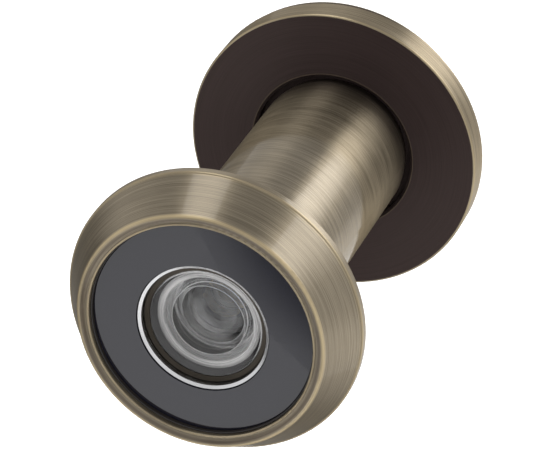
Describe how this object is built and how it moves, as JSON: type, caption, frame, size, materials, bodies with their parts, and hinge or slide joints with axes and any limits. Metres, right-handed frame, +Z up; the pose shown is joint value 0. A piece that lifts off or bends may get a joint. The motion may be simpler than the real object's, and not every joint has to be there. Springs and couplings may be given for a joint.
{
  "type": "door viewer",
  "caption": "Two-piece screw-together door viewer with a conical outdoor bezel, black window disc, smooth barrel, round indoor flange and full-size swinging privacy cover.",
  "frame": {"origin": "on the optical axis, in the plane of the door's outer face, which is the back face of the outdoor bezel", "axes": "+Y along the optical axis from outdoors to indoors, +Z up, +X to the right seen from outdoors"},
  "size_m": [0.0302, 0.0439, 0.0302],
  "materials": {
    "antique_brass": "circumferentially brushed antique brass under clear lacquer, dark patina on the faces towards the door, worn gold edges",
    "thread_brass": "machined brass, lightly aged",
    "black_glass": "polished opaque black glass",
    "black_rubber": "matt black rubber",
    "bright_ring": "bright turned ring",
    "dark_anodised": "dark anodised, finely turned",
    "light_spacer": "satin light grey",
    "optical_glass": "clear coated optical glass",
    "spring_steel": "bright spring steel"
  },
  "bodies": {
    "outdoor_half": {"front_housing": "antique_brass", "window_disc": "black_glass", "window_gasket": "black_rubber", "window_trim_ring": "bright_ring", "lens_cell": "dark_anodised", "cell_o_ring": "black_rubber", "objective_front_lens": "optical_glass", "objective_spacer_front": "light_spacer", "objective_middle_lens": "optical_glass", "objective_spacer_rear": "light_spacer", "objective_rear_lens": "optical_glass", "cell_retaining_ring": "dark_anodised"},
    "eyepiece": {"eyepiece_lens": "optical_glass", "eyepiece_o_ring": "black_rubber"},
    "indoor_half": {"rear_flange": "antique_brass", "rear_threaded_tube": "thread_brass", "light_baffle": "dark_anodised", "eyepiece_retaining_ring": "thread_brass", "cover_rivet": "thread_brass", "cover_spring_washer": "spring_steel"},
    "cover": {"privacy_cover": "antique_brass"}
  },
  "joints": [
    {"name": "rear_half_travel", "type": "slide", "parent": "outdoor_half", "child": "eyepiece", "axis": [0, 1, 0], "range_m": [0, 0.025]},
    {"name": "rear_half_turn", "type": "hinge", "parent": "eyepiece", "child": "indoor_half", "pos_m": [0, 0, 0], "axis": [0, 1, 0], "range_deg": [0, 9018]},
    {"name": "cover_swing", "type": "hinge", "parent": "indoor_half", "child": "cover", "pos_m": [0, 0.03695, 0.0111], "axis": [0, 1, 0], "continuous": true}
  ],
  "couplings": [
    {"joint": "rear_half_turn", "follows": "rear_half_travel", "rad_per_m": 6283.2}
  ]
}
